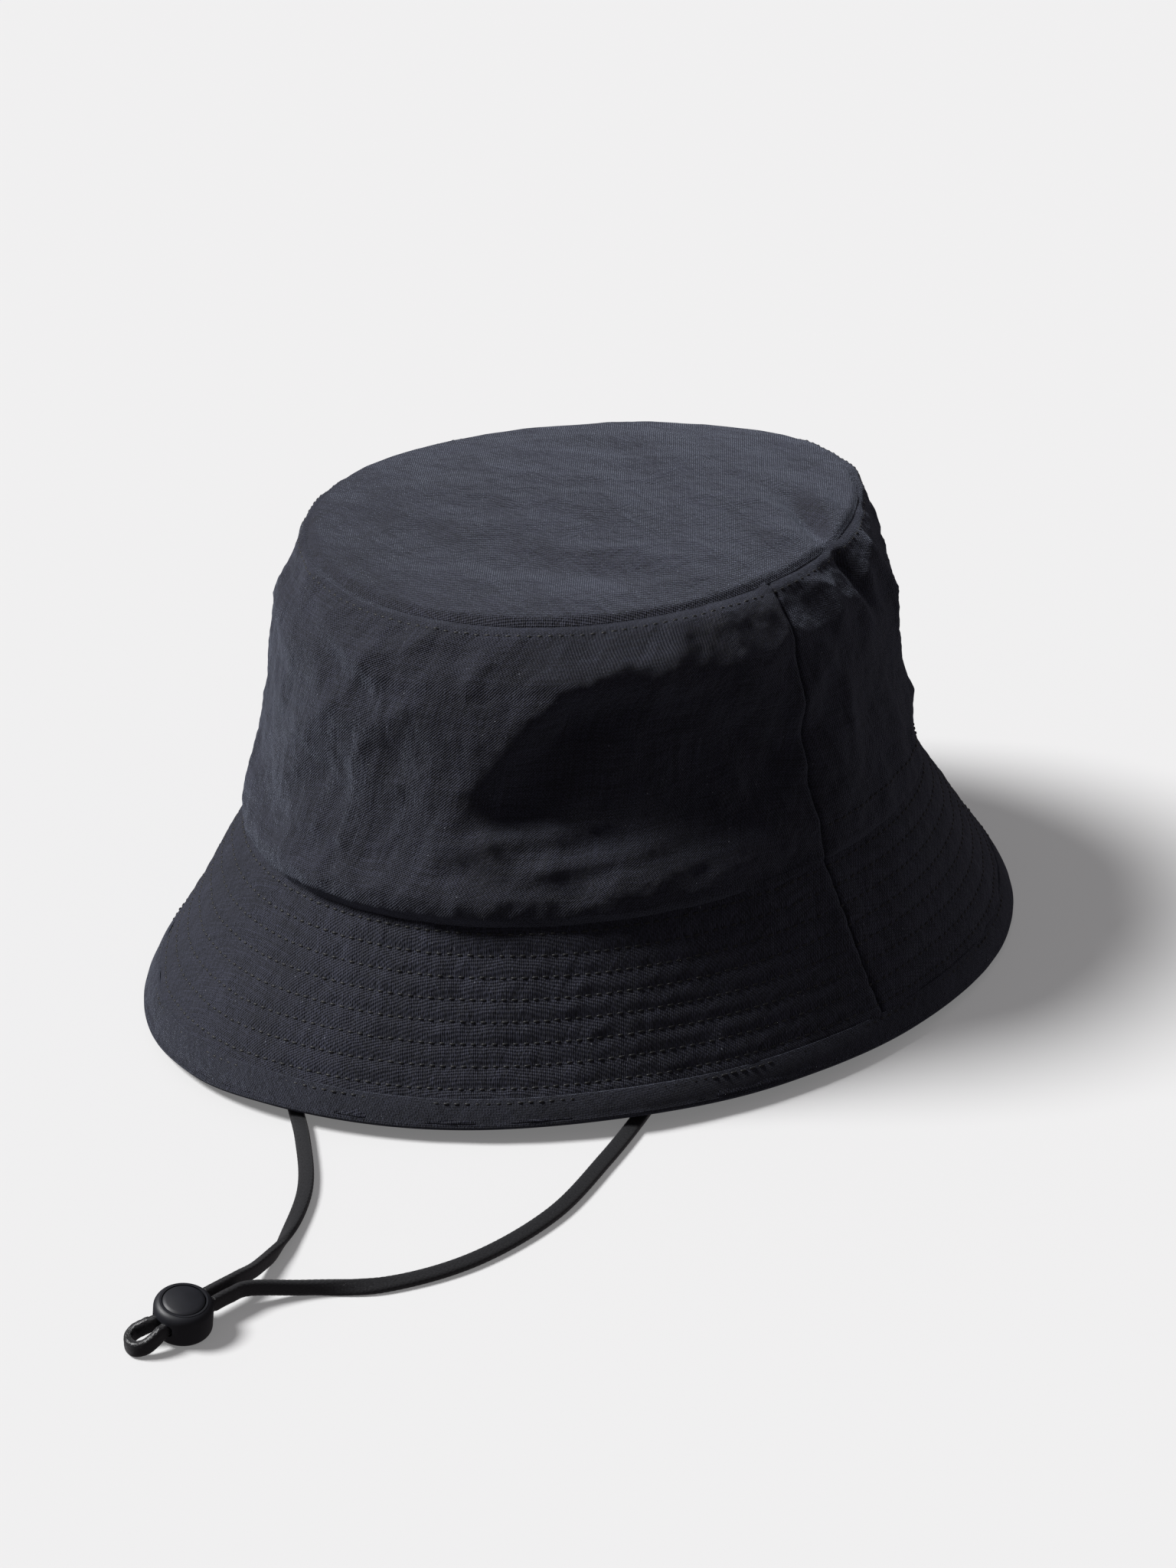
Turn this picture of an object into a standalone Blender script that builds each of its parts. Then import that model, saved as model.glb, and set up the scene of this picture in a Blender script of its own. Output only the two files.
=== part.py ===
"""A bucket hat with a row-stitched brim, a chin cord and a push-button cord lock.

Metres, +Z up. The brim's edge rests on z = 0, under the middle of the hat. The wearer faces -Y
and has the left ear at +X. Angles run round the hat from +X (left ear), through +Y (back).
Every cloth piece is a thin shell: a grid laid on the crown or on the brim, at its own depth
under the outer face, with Solidify for its thickness.
"""

import math

import bmesh
import bpy
from mathutils import Matrix, Vector

# Driving dimensions: half widths (X, Y) of three level ovals, their heights and middles (X, Y).
TIP_HALF = (0.0666, 0.0761)
TIP_Z = 0.1170
TIP_MIDDLE = (-0.0025, 0.0095)
TIP_DOME = 0.0050
TIP_SLUMP = 0.0070  # how far the tip seam sags at its lowest, over the right of the back
TIP_SLUMP_DEG = 137.0
BASE_HALF = (0.0905, 0.1050)
BASE_Z = 0.0468
BASE_MIDDLE = (-0.0025, 0.0062)
EDGE_HALF = (0.1130, 0.1325)
EDGE_MIDDLE = (-0.0038, 0.0090)
EDGE_RISE = 0.0016  # height of the brim's reference edge over the underside of its binding

# Where the worn-in hat is pushed in from its ovals: the bearing of each press, how far round it
# reaches to either side, and its depth. They sit at the left of the back, at the right of the
# back and in front of the right ear; the brim also flares a little at the brow.
BASE_PRESSES = ((70.0, 28.0, 0.014), (130.0, 36.0, 0.007), (213.0, 40.0, 0.019))
EDGE_PRESSES = ((76.0, 32.0, 0.015), (135.0, 38.0, 0.006), (213.0, 35.0, 0.018), (270.0, 22.0, -0.006))

# How far the side band has widened, from tip seam (0) to base seam (1), against its drop.
BAND_PROFILE = ((0.0, 0.0), (0.10, 0.26), (0.30, 0.53), (0.64, 0.74), (0.85, 0.90), (1.0, 1.0))

# Where the brim's edge lifts off the table, in degrees round the hat: the chin cord passes
# under it at -77 and -36 degrees.
EDGE_LIFT = (
    (-180, 0.0025),
    (-150, 0.0006),
    (-128, 0.0),
    (-108, 0.0),
    (-90, 0.0022),
    (-77, 0.0034),
    (-57, 0.0028),
    (-36, 0.0035),
    (-15, 0.0026),
    (5, 0.0016),
    (30, 0.0),
    (115, 0.0),
    (145, 0.0012),
    (180, 0.0025),
)

# Cloth, thread and gaps.
GAP = 0.0003
CLOTH = 0.0004
TAPE = 0.0003
BAND_CLOTH = 0.0005
ELASTIC = 0.0008
THREAD_RADIUS = 0.0002
SIDES_ROUND = 48
HALF_SIDES = SIDES_ROUND // 2
SEAM_GAP_DEG = 0.1

# The brim: rows of stitching, and the folded strip that binds its edge.
ROW_COUNT = 9
FIRST_ROW = 0.0008
ROW_PITCH = 0.0055
BINDING_REACH = 0.0042
BINDING_WEB = 0.0008
BRIM_END = 0.0006
BRIM_PLY_DEPTHS = (0.0, CLOTH + GAP, 2 * (CLOTH + GAP))

# Inside the crown.
SWEATBAND_DEPTH = 0.0024
ELASTIC_DEG = (15.0, 165.0)
CHANNEL_DROPS = (0.855, 0.975)
ELASTIC_DROPS = (0.865, 0.955)
TAB_DEG = 2.0

# The cord and its lock.
CORD_RADIUS = 0.0012
CORD_STEP = 0.0070
LOCK_AT = (0.0773, -0.1946, 0.00098)
LOCK_LEAN_DEG = 10.0
BARREL_RADIUS = 0.0069
BARREL_HEIGHT = 0.0086
BARREL_FLOOR = 0.0008
BARREL_TOP_ROUND = 0.0019
BARREL_FOOT_ROUND = 0.0014
BORE_RADIUS = 0.0052
BUTTON_RADIUS = 0.0049
BUTTON_FOOT = 0.0022
BUTTON_SHOULDER = 0.0086
BUTTON_TOP = 0.0093
BUTTON_SLOT = (0.0029, 0.00685)
BARREL_SLOT = (0.0029, 0.0059)
BUTTON_SLOT_HALF = 0.0032
BARREL_SLOT_HALF = 0.0035
TURNED_STEPS = 36
SPRING_WIRE = 0.0002
SPRING_RADII = (0.0040, 0.0022)
SPRING_Z = (0.00132, 0.00168)
SPRING_TURNS = 2
SPRING_STEPS = 14

# The chin cord's route, chosen by hand: from the wearer's right ear down to the table, under
# the brim, along to the lock, round its loop, back through the lock and up to the left ear.
CORD_ROUTE = (
    (-0.0768, 0.0070, 0.0436),
    (-0.0780, 0.0066, 0.0340),
    (-0.0785, 0.0046, 0.0225),
    (-0.0775, -0.0004, 0.0130),
    (-0.0740, -0.0094, 0.0060),
    (-0.0685, -0.0204, 0.0026),
    (-0.0615, -0.0334, 0.0015),
    (-0.0505, -0.0494, 0.0014),
    (-0.0205, -0.0834, 0.0014),
    (0.0105, -0.1089, 0.0014),
    (0.0370, -0.1259, 0.0014),
    (0.0548, -0.1399, 0.0014),
    (0.0675, -0.1569, 0.0016),
    (0.0737, -0.1694, 0.0034),
    (0.0761, -0.1774, 0.0053),
    (0.0764, -0.1824, 0.0056),
    (0.0764, -0.1884, 0.0056),
    (0.0764, -0.1954, 0.0056),
    (0.0764, -0.2010, 0.0056),
    (0.0751, -0.2031, 0.0046),
    (0.0737, -0.2051, 0.0034),
    (0.0740, -0.2072, 0.0026),
    (0.0758, -0.2084, 0.0023),
    (0.0778, -0.2082, 0.0023),
    (0.0793, -0.2064, 0.0028),
    (0.0798, -0.2040, 0.0039),
    (0.0797, -0.2010, 0.0050),
    (0.0797, -0.1954, 0.0050),
    (0.0797, -0.1884, 0.0050),
    (0.0797, -0.1824, 0.0050),
    (0.0804, -0.1769, 0.0046),
    (0.0868, -0.1654, 0.0022),
    (0.0978, -0.1509, 0.0014),
    (0.1047, -0.1299, 0.0014),
    (0.1041, -0.1044, 0.0014),
    (0.0961, -0.0794, 0.0014),
    (0.0867, -0.0564, 0.0014),
    (0.0765, -0.0359, 0.0014),
    (0.0640, -0.0149, 0.0014),
    (0.0615, 0.0006, 0.0018),
    (0.0665, 0.0141, 0.0050),
    (0.0750, 0.0176, 0.0130),
    (0.0810, 0.0141, 0.0220),
    (0.0855, 0.0084, 0.0340),
    (0.0848, 0.0070, 0.0436),
)

NAVY = (0.016, 0.018, 0.026)
NAVY_INSIDE = (0.020, 0.022, 0.030)
BLACK = (0.008, 0.008, 0.010)

for old in list(bpy.data.objects):
    bpy.data.objects.remove(old)


def new_collection(name):
    made = bpy.data.collections.new(name)
    bpy.context.scene.collection.children.link(made)
    return made


HAT = new_collection("bucket_hat")
CUTTERS = new_collection("cutters")


def new_material(name, colour, roughness, metallic=0.0):
    made = bpy.data.materials.new(name)
    made.use_nodes = True
    shader = made.node_tree.nodes["Principled BSDF"]
    shader.inputs["Base Color"].default_value = (*colour, 1.0)
    shader.inputs["Roughness"].default_value = roughness
    shader.inputs["Metallic"].default_value = metallic
    return made


CLOTH_FINISH = new_material("shell_cloth", NAVY, 0.8)
LINER_FINISH = new_material("liner_cloth", NAVY_INSIDE, 0.85)
STIFFENER_FINISH = new_material("interlining", (0.62, 0.61, 0.58), 0.9)
THREAD_FINISH = new_material("thread", BLACK, 0.55)
CORD_FINISH = new_material("cord", BLACK, 0.5)
LOCK_FINISH = new_material("lock_plastic", (0.015, 0.016, 0.020), 0.5)
SPRING_FINISH = new_material("spring_steel", (0.55, 0.55, 0.56), 0.3, 1.0)


def add_object(name, data, material, collection=HAT):
    data.materials.append(material)
    made = bpy.data.objects.new(name, data)
    collection.objects.link(made)
    return made


# The three ovals and the two outer faces.


def between(a, b, share):
    return a + (b - a) * share


def read_profile(pairs, at):
    """The value at a place on a line through pairs, carried on straight past its last one."""
    for (x0, y0), (x1, y1) in zip(pairs, pairs[1:]):
        if at <= x1:
            break
    return between(y0, y1, (at - x0) / (x1 - x0))


def read_eased(pairs, at):
    """The same, levelling out at each pair."""
    for (x0, y0), (x1, y1) in zip(pairs, pairs[1:]):
        if at <= x1:
            break
    return between(y0, y1, 0.5 - 0.5 * math.cos(math.pi * (at - x0) / (x1 - x0)))


def pressed_in(presses, bearing):
    """How far a ring is pushed in at a bearing: a sum of smooth presses."""
    turns = [((bearing - middle + 180.0) % 360.0 - 180.0) / spread for middle, spread, _ in presses]
    return sum(press[2] * math.exp(-turn * turn) for press, turn in zip(presses, turns))


def oval_point(half, middle, z, degrees, presses=()):
    turn = math.radians(degrees)
    reach = Vector((half[0] * math.cos(turn), half[1] * math.sin(turn), 0.0))
    if presses:
        bearing = math.degrees(math.atan2(reach.y, reach.x))
        reach *= 1 - pressed_in(presses, bearing) / reach.length
    return reach + Vector((*middle, z))


def base_point(degrees):
    return oval_point(BASE_HALF, BASE_MIDDLE, BASE_Z, degrees, BASE_PRESSES)


def edge_lift(degrees):
    return read_eased(EDGE_LIFT, (degrees + 180.0) % 360.0 - 180.0)


def tip_slump(degrees):
    return TIP_SLUMP * max(0.0, math.cos(math.radians(degrees - TIP_SLUMP_DEG))) ** 2


def crown_face(degrees, drop):
    """A point of the side band: drop is 0 at the tip seam and 1 at the base seam."""
    tip = oval_point(TIP_HALF, TIP_MIDDLE, TIP_Z - tip_slump(degrees), degrees)
    base = base_point(degrees)
    point = tip.lerp(base, read_profile(BAND_PROFILE, drop))
    point.z = between(tip.z, base.z, drop)
    return point


def brim_face(degrees, share):
    """A point of the brim: share is 0 at the base seam and 1 at the brim's reference edge."""
    foot = oval_point(EDGE_HALF, EDGE_MIDDLE, EDGE_RISE + edge_lift(degrees), degrees, EDGE_PRESSES)
    return base_point(degrees).lerp(foot, share)


def tip_face(degrees, share):
    """A point of the crown's top: share is 0 in its middle and 1 at the tip seam."""
    half = [side * share for side in TIP_HALF]
    rise = TIP_DOME * (1 - share * share) - tip_slump(degrees) * share * share
    return oval_point(half, TIP_MIDDLE, TIP_Z + rise, degrees)


def outward(face, degrees, share):
    """The outward normal of a face."""
    step = 0.001
    round_it = face(degrees + 0.2, share) - face(degrees - 0.2, share)
    down_it = face(degrees, share + step) - face(degrees, share - step)
    return down_it.cross(round_it).normalized()


def under(face, degrees, share, depth):
    """A point at some depth under a face."""
    return face(degrees, share) - outward(face, degrees, share) * depth


# Cloth pieces.


def laid_grid(name, place, columns, rows, material, closed=False):
    """A grid object whose corner (column, row) goes to place(column share, row)."""
    grid = bmesh.new()
    bmesh.ops.create_grid(grid, x_segments=columns, y_segments=rows, size=1.0)
    for corner in grid.verts:
        across, row = (corner.co.x + 1) / 2, round((corner.co.y + 1) / 2 * rows)
        corner.co = place(across, row)
    if closed:
        bmesh.ops.remove_doubles(grid, verts=grid.verts, dist=1e-6)
    bmesh.ops.recalc_face_normals(grid, faces=grid.faces)
    mesh = bpy.data.meshes.new(name)
    grid.to_mesh(mesh)
    grid.free()
    mesh.shade_smooth()
    mesh.set_sharp_from_angle(angle=math.radians(50))
    return add_object(name, mesh, material)


def cloth(name, face, arc, levels, depth, thickness, material, columns):
    """A shell on a face, from depth to depth + thickness under it. arc is (from, to) in degrees."""
    closed = arc[1] - arc[0] >= 360 or levels[0] == 0 and face is tip_face
    middle = depth + thickness / 2

    def place(across, row):
        return under(face, between(arc[0], arc[1], across), levels[row], middle)

    made = laid_grid(name, place, columns, len(levels) - 1, material, closed)
    shell = made.modifiers.new("thickness", "SOLIDIFY")
    shell.thickness = thickness
    shell.offset = 0.0
    return made


FRONT_ARC = (-180.0 + SEAM_GAP_DEG, -SEAM_GAP_DEG)
BACK_ARC = (SEAM_GAP_DEG, 180.0 - SEAM_GAP_DEG)
WHOLE_ARC = (0.0, 360.0)
SLANT = (brim_face(90, 1) - brim_face(90, 0)).length


def make_crown():
    dome_levels = (0.0, 0.35, 0.7, 1.0)
    tip = cloth("crown_tip", tip_face, WHOLE_ARC, dome_levels, 0.0, CLOTH, CLOTH_FINISH, SIDES_ROUND)
    tip.data.shade_smooth()
    top_drop = 3 * GAP / (TIP_Z - BASE_Z)
    foot_drop = 1 - 2 * GAP / (TIP_Z - BASE_Z)
    levels = (top_drop, 0.10, 0.30, 0.64, 0.85, foot_drop)
    for name, arc in (("crown_front_panel", FRONT_ARC), ("crown_back_panel", BACK_ARC)):
        cloth(name, crown_face, arc, levels, 0.0, CLOTH, CLOTH_FINISH, HALF_SIDES)
    depth = CLOTH + GAP
    cloth(
        "tip_seam_tape", crown_face, WHOLE_ARC, (0.03, 0.10, 0.15), depth, TAPE, LINER_FINISH, SIDES_ROUND
    )
    for side, middle in (("left", 0.0), ("right", 180.0)):
        arc = (middle - 3.0, middle + 3.0)
        levels = (0.17, 0.30, 0.64, 0.85, 0.97)
        cloth("side_seam_tape_" + side, crown_face, arc, levels, depth + GAP, TAPE, LINER_FINISH, 2)


def make_back_adjuster():
    """A flat elastic in a channel inside the back of the crown."""
    depth = CLOTH + GAP
    cloth("back_elastic", crown_face, ELASTIC_DEG, ELASTIC_DROPS, depth, ELASTIC, STIFFENER_FINISH, 20)
    depth += ELASTIC + GAP
    cloth("back_channel", crown_face, ELASTIC_DEG, CHANNEL_DROPS, depth, TAPE, LINER_FINISH, 20)


def make_sweatband():
    levels = (0.58, 0.64, 0.85, 0.98)
    cloth(
        "sweatband", crown_face, WHOLE_ARC, levels, SWEATBAND_DEPTH, BAND_CLOTH, LINER_FINISH, SIDES_ROUND
    )
    depth = SWEATBAND_DEPTH + BAND_CLOTH + GAP
    cloth("care_label", crown_face, (83.0, 97.0), (0.66, 0.84), depth, TAPE, LINER_FINISH, 2)
    for side, middle in (("left", 0.0), ("right", 180.0)):
        arc = (middle - TAB_DEG, middle + TAB_DEG)
        cloth("cord_tab_" + side, crown_face, arc, (0.86, 0.985), depth, 2 * CLOTH, THREAD_FINISH, 2)
        arc = (middle - TAB_DEG * 0.8, middle + TAB_DEG * 0.8)
        tack_depth = depth + 2 * CLOTH + GAP
        cloth("cord_tab_tack_" + side, crown_face, arc, (0.90, 0.925), tack_depth, CLOTH, THREAD_FINISH, 1)


def make_brim():
    plies = (
        ("brim_upper", CLOTH_FINISH),
        ("brim_interlining", STIFFENER_FINISH),
        ("brim_under", CLOTH_FINISH),
    )
    levels = (0.0, 1 - BRIM_END / SLANT)
    for (name, finish), depth in zip(plies, BRIM_PLY_DEPTHS):
        for side, arc in (("front", FRONT_ARC), ("back", BACK_ARC)):
            cloth(f"{name}_{side}", brim_face, arc, levels, depth, CLOTH, finish, HALF_SIDES)


def make_binding():
    """A strip folded round the brim's edge, with a level underside that the hat rests on."""
    outer = -(GAP + CLOTH)
    inner = BRIM_PLY_DEPTHS[-1] + 2 * CLOTH + GAP
    # Each corner of the section: its depth under the brim's outer face, and its height over
    # the underside, or None at the strip's two cut edges.
    section = (
        (outer, None),
        (outer, 0.0),
        (inner, 0.0),
        (inner, None),
        (inner - CLOTH, None),
        (inner - CLOTH, BINDING_WEB),
        (outer + CLOTH, BINDING_WEB),
        (outer + CLOTH, None),
    )

    def place(across, row):
        degrees = 360.0 * across
        depth, height = section[row % len(section)]
        foot = brim_face(degrees, 1.0)
        down = (foot - brim_face(degrees, 0.0)).normalized()
        point = foot - outward(brim_face, degrees, 1.0) * depth
        if height is None:
            return point - down * BINDING_REACH
        return point + down * ((edge_lift(degrees) + height - point.z) / down.z)

    laid_grid("brim_edge_binding", place, SIDES_ROUND, len(section), CLOTH_FINISH, closed=True)


# Threads and cords are curves with a round section.


def tube(name, points, radius, material, sides_step=0, cyclic=False):
    curve = bpy.data.curves.new(name, "CURVE")
    curve.dimensions = "3D"
    curve.bevel_depth = radius
    curve.bevel_resolution = sides_step
    curve.use_fill_caps = not cyclic
    line = curve.splines.new("POLY")
    line.points.add(len(points) - 1)
    for spot, point in zip(line.points, points):
        spot.co = (*point, 1.0)
    line.use_cyclic_u = cyclic
    return add_object(name, curve, material)


def thread_ring(name, face, share, lift):
    turns = [360.0 * step / SIDES_ROUND for step in range(SIDES_ROUND)]
    points = [under(face, turn, share, -lift) for turn in turns]
    return tube(name, points, THREAD_RADIUS, THREAD_FINISH, cyclic=True)


def make_stitching():
    lift = GAP + THREAD_RADIUS
    thread_ring("tip_topstitch", crown_face, 0.04, lift)
    for row in range(ROW_COUNT):
        on_binding = row == ROW_COUNT - 1
        share = (FIRST_ROW + row * ROW_PITCH) / SLANT
        row_lift = lift + (GAP + CLOTH if on_binding else 0.0)
        if on_binding:
            share = 1 - (BINDING_REACH - 2 * CLOTH) / SLANT
        thread_ring(f"brim_stitch_row_{row + 1}", brim_face, share, row_lift)
    arc = [between(ELASTIC_DEG[0], ELASTIC_DEG[1], step / 20) for step in range(21)]
    points = [under(crown_face, turn, CHANNEL_DROPS[0] + 0.01, -lift) for turn in arc]
    tube("back_channel_topstitch", points, THREAD_RADIUS, THREAD_FINISH)


def smooth_line(route, step):
    """Points on a Catmull-Rom curve through the route, a step apart at most."""
    stops = [Vector(p) for p in route]
    stops = [2 * stops[0] - stops[1]] + stops + [2 * stops[-1] - stops[-2]]
    line = [stops[1]]
    for a, b, c, d in zip(stops, stops[1:], stops[2:], stops[3:]):
        pieces = max(1, math.ceil((c - b).length / step))
        for k in range(1, pieces + 1):
            t = k / pieces
            line.append(
                0.5 * (2 * b + (c - a) * t + (2 * a - 5 * b + 4 * c - d) * t**2 + (3 * b - a - 3 * c + d) * t**3)
            )
    return line


def make_cord():
    tube("chin_cord", smooth_line(CORD_ROUTE, CORD_STEP), CORD_RADIUS, CORD_FINISH, sides_step=2)


# The cord lock, made upright round its own axis and then leant over.


def turned(name, profile, material):
    """A solid turned from (radius, height) pairs that run from the top down the outside."""
    mesh = bpy.data.meshes.new(name)
    corners = [(radius, 0.0, height) for radius, height in profile]
    mesh.from_pydata(corners, [(k, k + 1) for k in range(len(corners) - 1)], [])
    made = add_object(name, mesh, material)
    screw = made.modifiers.new("turn", "SCREW")
    screw.steps = screw.render_steps = TURNED_STEPS
    screw.use_merge_vertices = True
    screw.merge_threshold = 1e-6
    screw.use_smooth_shade = True
    return made


def rounded(centre, radius, start_deg, end_deg, steps):
    """Points on an arc, from start to end, in degrees above level."""
    turns = [math.radians(between(start_deg, end_deg, k / steps)) for k in range(steps + 1)]
    return [(centre[0] + radius * math.cos(t), centre[1] + radius * math.sin(t)) for t in turns]


def cut_slot(part, name, half_width, heights):
    """Cuts a level slot right through a part, along Y."""
    bpy.ops.mesh.primitive_cube_add(size=1.0)
    cutter = bpy.context.object
    cutter.name = name
    size = (2 * half_width, 4 * BARREL_RADIUS, heights[1] - heights[0])
    cutter.data.transform(Matrix.Diagonal((*size, 1.0)))
    cutter.data.transform(Matrix.Translation((0, 0, (heights[0] + heights[1]) / 2)))
    for home in list(cutter.users_collection):
        home.objects.unlink(cutter)
    CUTTERS.objects.link(cutter)
    cutter.hide_render = True
    cutter.display_type = "WIRE"
    cut = part.modifiers.new("slot", "BOOLEAN")
    cut.operation = "DIFFERENCE"
    cut.solver = "EXACT"
    cut.object = cutter
    return cutter


def make_lock():
    top = BARREL_HEIGHT - BARREL_TOP_ROUND
    barrel_profile = [(0.0, BARREL_FLOOR), (BORE_RADIUS, BARREL_FLOOR)]
    barrel_profile += [(BORE_RADIUS, BARREL_HEIGHT - 0.0003)]
    barrel_profile += rounded((BARREL_RADIUS - BARREL_TOP_ROUND + 0.0003, top), BARREL_TOP_ROUND, 90, 8, 5)
    barrel_profile += [(BARREL_RADIUS, top - 0.0016)]
    foot = (BARREL_RADIUS - BARREL_FOOT_ROUND, BARREL_FOOT_ROUND)
    barrel_profile += rounded(foot, BARREL_FOOT_ROUND, 0, -90, 4)
    barrel_profile += [(0.0, 0.0)]
    barrel = turned("lock_barrel", barrel_profile, LOCK_FINISH)

    dome = BUTTON_TOP - BUTTON_SHOULDER
    shares = (0.0, 0.35, 0.65, 0.85)
    button_profile = [(BUTTON_RADIUS * s, BUTTON_TOP - dome * s * s) for s in shares]
    button_profile += [(BUTTON_RADIUS * 0.97, BUTTON_SHOULDER), (BUTTON_RADIUS, BUTTON_SHOULDER - 0.0004)]
    button_profile += [(BUTTON_RADIUS, BUTTON_FOOT), (0.0, BUTTON_FOOT)]
    button = turned("lock_button", button_profile, LOCK_FINISH)

    coil = []
    for step in range(SPRING_TURNS * SPRING_STEPS + 1):
        share = step / (SPRING_TURNS * SPRING_STEPS)
        turn = 2 * math.pi * SPRING_TURNS * share
        radius = between(*SPRING_RADII, share)
        coil.append((radius * math.cos(turn), radius * math.sin(turn), between(*SPRING_Z, share)))
    spring = tube("lock_spring", coil, SPRING_WIRE, SPRING_FINISH, sides_step=0)

    barrel_cutter = cut_slot(barrel, "barrel_slot", BARREL_SLOT_HALF, BARREL_SLOT)
    button_cutter = cut_slot(button, "button_slot", BUTTON_SLOT_HALF, BUTTON_SLOT)
    axis = bpy.data.objects.new("lock_axis", None)
    HAT.objects.link(axis)
    axis.location = LOCK_AT
    axis.rotation_euler = (0.0, math.radians(LOCK_LEAN_DEG), 0.0)
    for piece in (barrel, button, spring, barrel_cutter, button_cutter):
        piece.parent = axis


make_crown()
make_back_adjuster()
make_sweatband()
make_brim()
make_binding()
make_stitching()
make_cord()
make_lock()
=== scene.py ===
"""The looks of the bucket hat: cloth, seams, single stitches, braided cord and cord lock.

Metres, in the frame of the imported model: the wearer faces -Y, the left ear is at +X, and the
brim rests on z = 0. Angles run round the hat in degrees from +X through +Y.
"""
import math

import bmesh
import bpy
import numpy as np
from mathutils import Matrix, Vector, noise


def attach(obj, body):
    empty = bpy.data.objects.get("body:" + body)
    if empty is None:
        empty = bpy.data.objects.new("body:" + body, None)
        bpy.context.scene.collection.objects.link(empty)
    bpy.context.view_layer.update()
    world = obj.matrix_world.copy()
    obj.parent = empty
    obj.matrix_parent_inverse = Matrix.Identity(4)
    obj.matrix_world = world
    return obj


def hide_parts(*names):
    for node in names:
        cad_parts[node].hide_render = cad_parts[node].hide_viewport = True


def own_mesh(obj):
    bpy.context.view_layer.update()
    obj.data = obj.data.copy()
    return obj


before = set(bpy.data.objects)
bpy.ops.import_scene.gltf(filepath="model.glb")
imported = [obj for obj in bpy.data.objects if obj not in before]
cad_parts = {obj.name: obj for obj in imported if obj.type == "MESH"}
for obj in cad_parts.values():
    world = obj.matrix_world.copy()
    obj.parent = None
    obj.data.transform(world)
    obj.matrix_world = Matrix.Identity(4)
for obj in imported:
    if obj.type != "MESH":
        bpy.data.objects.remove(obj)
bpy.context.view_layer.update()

MM = 0.001

# ---------------------------------------------------------------- the frame's own dimensions
# Half widths (X, Y) of three level ovals, their middles and heights, as in the CAD model.

TIP_HALF, TIP_MIDDLE, TIP_Z = (0.0666, 0.0761), (-0.0025, 0.0095), 0.1170
BASE_HALF, BASE_MIDDLE, BASE_Z = (0.0905, 0.1050), (-0.0025, 0.0062), 0.0468
EDGE_HALF, EDGE_MIDDLE, EDGE_RISE = (0.1130, 0.1325), (-0.0038, 0.0090), 0.0016
TIP_DOME = 5.0 * MM
# Where the rings are pushed in: bearing, how far round to either side, and depth in mm.
BASE_PRESSES = ((70, 28, 14), (130, 36, 7), (213, 40, 19))
EDGE_PRESSES = ((76, 32, 15), (135, 38, 6), (213, 35, 18), (270, 22, -6))

# ------------------------------------------------------------------------------ the camera

CAMERA_AZIMUTH = 47.3
CAMERA_ELEVATION = 26.8
CAMERA_DISTANCE = 1.0
CAMERA_LENS = 86.1
CAMERA_ROLL = 1.1
AIM_RIGHT = 1.8 * MM
AIM_DOWN = 21.6 * MM


def make_camera():
    a, e = math.radians(CAMERA_AZIMUTH), math.radians(CAMERA_ELEVATION)
    back = Vector((math.sin(a) * math.cos(e), -math.cos(a) * math.cos(e), math.sin(e)))
    right = Vector((math.cos(a), math.sin(a), 0.0))
    up = back.cross(right)
    centre = Vector((*BASE_MIDDLE, 0.060))
    place = centre + back * CAMERA_DISTANCE
    aim = centre + right * AIM_RIGHT - up * AIM_DOWN
    data = bpy.data.cameras.new("camera")
    data.lens = CAMERA_LENS
    data.sensor_width = 36.0
    camera = bpy.data.objects.new("camera", data)
    bpy.context.scene.collection.objects.link(camera)
    look = (aim - place).to_track_quat("-Z", "Y").to_matrix()
    roll = Matrix.Rotation(math.radians(-CAMERA_ROLL), 3, "Z")
    camera.matrix_world = Matrix.Translation(place) @ (look @ roll).to_4x4()
    bpy.context.scene.camera = camera


# ------------------------------------------------------------------------------- materials


class Nodes:
    """Short calls for building a node tree."""

    def __init__(self, name):
        self.material = bpy.data.materials.new(name)
        self.material.use_nodes = True
        self.tree = self.material.node_tree
        self.shader = self.tree.nodes["Principled BSDF"]

    def add(self, kind, **settings):
        node = self.tree.nodes.new(kind)
        for key, value in settings.items():
            setattr(node, key, value)
        return node

    def link(self, source, target):
        if isinstance(source, (int, float, tuple)):
            target.default_value = source
        else:
            self.tree.links.new(source, target)

    def maths(self, operation, a, b=0.0):
        node = self.add("ShaderNodeMath", operation=operation)
        self.link(a, node.inputs[0])
        self.link(b, node.inputs[1])
        return node.outputs[0]

    def scaled(self, source, scale, turn=0.0):
        node = self.add("ShaderNodeMapping")
        self.link(source, node.inputs["Vector"])
        node.inputs["Scale"].default_value = scale
        node.inputs["Rotation"].default_value = (0.0, 0.0, turn)
        return node.outputs[0]

    def noise(self, source, scale, detail=2.0, roughness=0.5):
        node = self.add("ShaderNodeTexNoise")
        self.link(source, node.inputs["Vector"])
        node.inputs["Scale"].default_value = scale
        node.inputs["Detail"].default_value = detail
        node.inputs["Roughness"].default_value = roughness
        return node.outputs["Fac"]

    def ramp(self, source, stops):
        node = self.add("ShaderNodeValToRGB")
        self.link(source, node.inputs["Fac"])
        while len(node.color_ramp.elements) < len(stops):
            node.color_ramp.elements.new(0.5)
        for element, (at, colour) in zip(node.color_ramp.elements, stops):
            element.position = at
            element.color = (*colour, 1.0)
        return node.outputs["Color"]

    def bump(self, height, distance, strength=1.0, normal=None):
        node = self.add("ShaderNodeBump")
        self.link(height, node.inputs["Height"])
        node.inputs["Distance"].default_value = distance
        node.inputs["Strength"].default_value = strength
        if normal is not None:
            self.link(normal, node.inputs["Normal"])
        return node.outputs["Normal"]


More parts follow.
